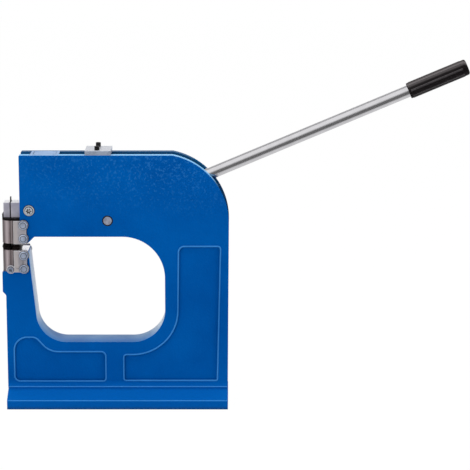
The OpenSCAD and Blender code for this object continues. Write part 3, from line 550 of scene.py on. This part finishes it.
spring_low, spring_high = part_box("return_spring")
spring_mid = (spring_low + spring_high) / 2
spring_wire = 2.2 * MM
coil_sizes = {
    "turns": 7.0,
    "coil radius": (spring_high.x - spring_low.x) / 2 - spring_wire / 2,
    "height": spring_high.z - spring_low.z - spring_wire,
    "wire radius": spring_wire / 2,
}
spring_wound = grown("spring_wound", coil_tree(coil_sizes), {**coil_sizes, "finish": spring_steel},
                     place=Matrix.Translation((spring_mid.x, spring_mid.y, spring_low.z + spring_wire / 2)))
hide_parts("return_spring")
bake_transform(spring_wound)

# Ram: two ground steel bars side by side with a blued strip of spring steel between them, and a black
# rubber wiper where they enter the upper housing.
along_ram = (1.0, 1.0, 0.02)
# The ram's top is painted near white as painted light from above
ram_steel = steel("ram_steel", linear(194, 191, 206), linear(224, 222, 234), roughness=0.4, metallic=0.5,
                  stretch=along_ram, top=linear(250, 250, 252))
strip_steel = steel("strip_steel", linear(34, 28, 34), linear(52, 46, 54), roughness=0.45)
wiper_rubber = rubber("wiper_rubber", linear(10, 8, 8), linear(20, 18, 18), roughness=0.7, sheen=0.12)
finish_node("ram", ram_steel, edge=0.6 * MM)
finish_node("ram_front_bar", ram_steel, edge=0.6 * MM)
finish_node("ram_strip", strip_steel, edge=0.2 * MM)
finish_node("wiper", wiper_rubber, edge=0.5 * MM)

# Jaw housings: ground steel blocks with rounded fronts and two grooves. Each is held between lobed
# side plates by round-headed bolts, and two black toothed jaw halves slide on sloping seats in it.
housing_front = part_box("upper_housing")[0].x
# The grooves are given a flat colour of their own
groove_tone = linear(140, 130, 130)


# Each row gives a band's start and end behind the housings' front, the softness of its edges, and its colour
def bands_behind_front(*rows):
    return [(housing_front + start, housing_front + end, soft, shown) for start, end, soft, shown in rows]


# The paler band behind the housings' rounded front and the land between the grooves are painted highlights
housing_bands = bands_behind_front(
    (5.0 * MM, 11.0 * MM, 2.0 * MM, linear(199, 186, 189)),
    (14.0 * MM, 15.6 * MM, 0.2 * MM, groove_tone),
    (15.8 * MM, 17.6 * MM, 0.2 * MM, linear(172, 160, 162)),
    (17.8 * MM, 19.4 * MM, 0.2 * MM, groove_tone))
# The paler band at the plates' front is a painted highlight
plate_bands = bands_behind_front((19.5 * MM, 27.0 * MM, 1.5 * MM, linear(206, 199, 199)))
# The housing's dim colour is painted shade where its rounded front turns away from view
housing_steel = steel("housing_steel", linear(112, 100, 102), linear(166, 152, 155), roughness=0.36,
                      metallic=0.5, stretch=along_ram, bands=housing_bands, dim=linear(94, 84, 87))
plate_steel = steel("plate_steel", linear(160, 157, 165), linear(196, 193, 200), roughness=0.4,
                    metallic=0.5, bands=plate_bands)
jaw_steel = steel("jaw_steel", linear(14, 9, 9), linear(26, 18, 18), roughness=0.55, metallic=0.0,
                  glint=0.15)
for level, body in (("upper", "ram"), ("lower", "frame")):
    finish_node(level + "_housing", housing_steel, edge=0.8 * MM)
    finish_node(level + "_side_plates", plate_steel, bright_rim, edge=0.8 * MM)
    finish_node(level + "_plate_bolts", zinc_bolt, bright_rim, edge=0.5 * MM)
    for half in ("front", "rear"):
        finish_node(f"{level}_{half}_jaw", jaw_steel, edge=0.15 * MM)
        finish_node(f"{level}_{half}_jaw_pin", jaw_steel)
    housing_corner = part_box(level + "_housing")[1]
    painted_shadow_lines(level + "_side_plates", housing_corner.y, body, radius=0.8 * MM, behind=housing_corner.x,
               lift=0.55 * MM)
    painted_shadow_lines(level + "_plate_bolts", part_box(level + "_side_plates")[1].y, body)
finish_node("lower_plate_screws", zinc_bolt, bright_rim, edge=0.4 * MM)
painted_shadow_lines("lower_plate_screws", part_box("lower_side_plates")[1].y, "frame")


# Floor: a pale studio floor that shows white to the camera and in reflections, and keeps a faint shadow
# of the tool. It is part of the stage and not of the object.
def flat_sheet(name, corners, material):
    mesh = bpy.data.meshes.new(name)
    mesh.from_pydata(corners, [], [(0, 1, 2, 3)])
    mesh.materials.append(material)
    sheet = bpy.data.objects.new(name, mesh)
    scene.collection.objects.link(sheet)
    return sheet


def level_corners(left, right, front, back, height):
    return [(left, front, height), (right, front, height), (right, back, height), (left, back, height)]


def seen_by(tree, *kinds):
    path = added(tree, "ShaderNodeLightPath", {})
    seen = path[kinds[0]]
    for kind in kinds[1:]:
        seen = combined(tree, "MAXIMUM", seen, path[kind])
    return seen


def show_between(tree, share, first, second):
    shown = added(tree, "ShaderNodeMixShader", {0: share, 1: first, 2: second})["Shader"]
    tree.links.new(shown, tree.nodes["Material Output"].inputs["Surface"])


pale_rays = ("Is Camera Ray", "Is Glossy Ray", "Is Transmission Ray")
sheet_roughness = 0.9
floor_reach = 6.0
floor_grey = (0.9, 0.9, 0.9, 1.0)
floor_whiteness = 0.97
floor_glow = 1.015
floor_pale, floor_tree, floor_shader = new_material("floor_pale", floor_grey, sheet_roughness, metallic=0.0)
floor_share = combined(floor_tree, "MULTIPLY", seen_by(floor_tree, *pale_rays), floor_whiteness)
floor_white = added(floor_tree, "ShaderNodeEmission", {"Strength": floor_glow})["Emission"]
show_between(floor_tree, floor_share, floor_shader.outputs["BSDF"], floor_white)
floor_corners = level_corners(-floor_reach, floor_reach, -floor_reach, floor_reach, height=0.0)
floor = flat_sheet("floor", floor_corners, floor_pale)


# Cards: three sheets that are seen only in reflections. A dark cloth before the tool and a dark board at
# the cloth's front edge put the soft dark band along the bright bar, and a grey card overhead dulls its top.
def reflected_card(name, corners, grey, strength):
    made, tree, shader = new_material(name, (grey, grey, grey, 1.0), sheet_roughness, metallic=0.0)
    show_between(tree, combined(tree, "MULTIPLY", seen_by(tree, "Is Glossy Ray"), strength(tree)),
                 added(tree, "ShaderNodeBsdfTransparent", {})["BSDF"], shader.outputs["BSDF"])
    return flat_sheet(name, corners, made)


# The cloth is thin under the tool, the board fades upwards and the card is even
def thinning(tree):
    return scaled_to(tree, position(tree)["Y"], -0.25, -0.6, 0.2, 0.87)


def fading(tree):
    return scaled_to(tree, position(tree)["Z"], 0.6, 3.0, 0.85, 0.0)


def even(tree):
    return 0.6


cloth_left, cloth_right = -3.0, 3.4
cloth_front, cloth_back, cloth_z = -4.5, 0.8, 0.002
board_top = 3.0
cloth_corners = level_corners(cloth_left, cloth_right, cloth_front, cloth_back, cloth_z)
board_corners = [(cloth_left, cloth_front, cloth_z), (cloth_right, cloth_front, cloth_z),
                 (cloth_right, cloth_front, board_top), (cloth_left, cloth_front, board_top)]
card_corners = level_corners(left=-2.0, right=2.4, front=0.3, back=3.6, height=2.6)
cloth = reflected_card("dark_cloth", cloth_corners, grey=0.03, strength=thinning)
board = reflected_card("dark_board", board_corners, grey=0.03, strength=fading)
card = reflected_card("grey_card", card_corners, grey=0.3, strength=even)


# Studio: broad soft lamps above, in front and at the side light the tool at a plain level in a pale room.
# The camera stands before the near cheek, a little above the tool, with a long lens fitted to the casting.
def lamp(name, place, size, power):
    data = bpy.data.lights.new(name, "AREA")
    data.shape = "RECTANGLE"
    data.size, data.size_y = size
    data.energy = power
    made = bpy.data.objects.new(name, data)
    made.visible_glossy = False
    made.location = place
    made.rotation_euler = (tool_middle - Vector(place)).to_track_quat("-Z", "Y").to_euler()
    scene.collection.objects.link(made)


tool_middle = Vector((0.1, 0.0, 0.28))
lamp("top_box", (0.1, -0.2, 2.2), size=(2.6, 1.6), power=20.0)
lamp("front_box", (-0.9, -2.2, 1.1), size=(1.8, 1.8), power=17.0)
lamp("side_box", (2.2, -1.0, 1.0), size=(1.2, 1.6), power=8.0)

room_light = 0.45
scene.world = bpy.data.worlds.new("pale_room")
scene.world.use_nodes = True
room_tree = scene.world.node_tree
room = room_tree.nodes["Background"]
room.inputs["Color"].default_value = linear(255, 255, 255)
room_tree.links.new(scaled_to(room_tree, seen_by(room_tree, *pale_rays), 0.0, 1.0, room_light, 1.0),
                    room.inputs["Strength"])

camera_pitch = math.radians(12.0)
camera_focal_px = 2100.0
photo_px = 470.0
camera_data = bpy.data.cameras.new("photo_camera")
camera_data.sensor_width = 36.0
camera_data.lens = camera_data.sensor_width * camera_focal_px / photo_px
camera = bpy.data.objects.new("photo_camera", camera_data)
camera.location = (0.1964, -3.4235, 1.0155)
camera.rotation_euler = (math.pi / 2 - camera_pitch, 0.0, 0.0)
scene.collection.objects.link(camera)
scene.camera = camera
scene.view_settings.view_transform = "Standard"
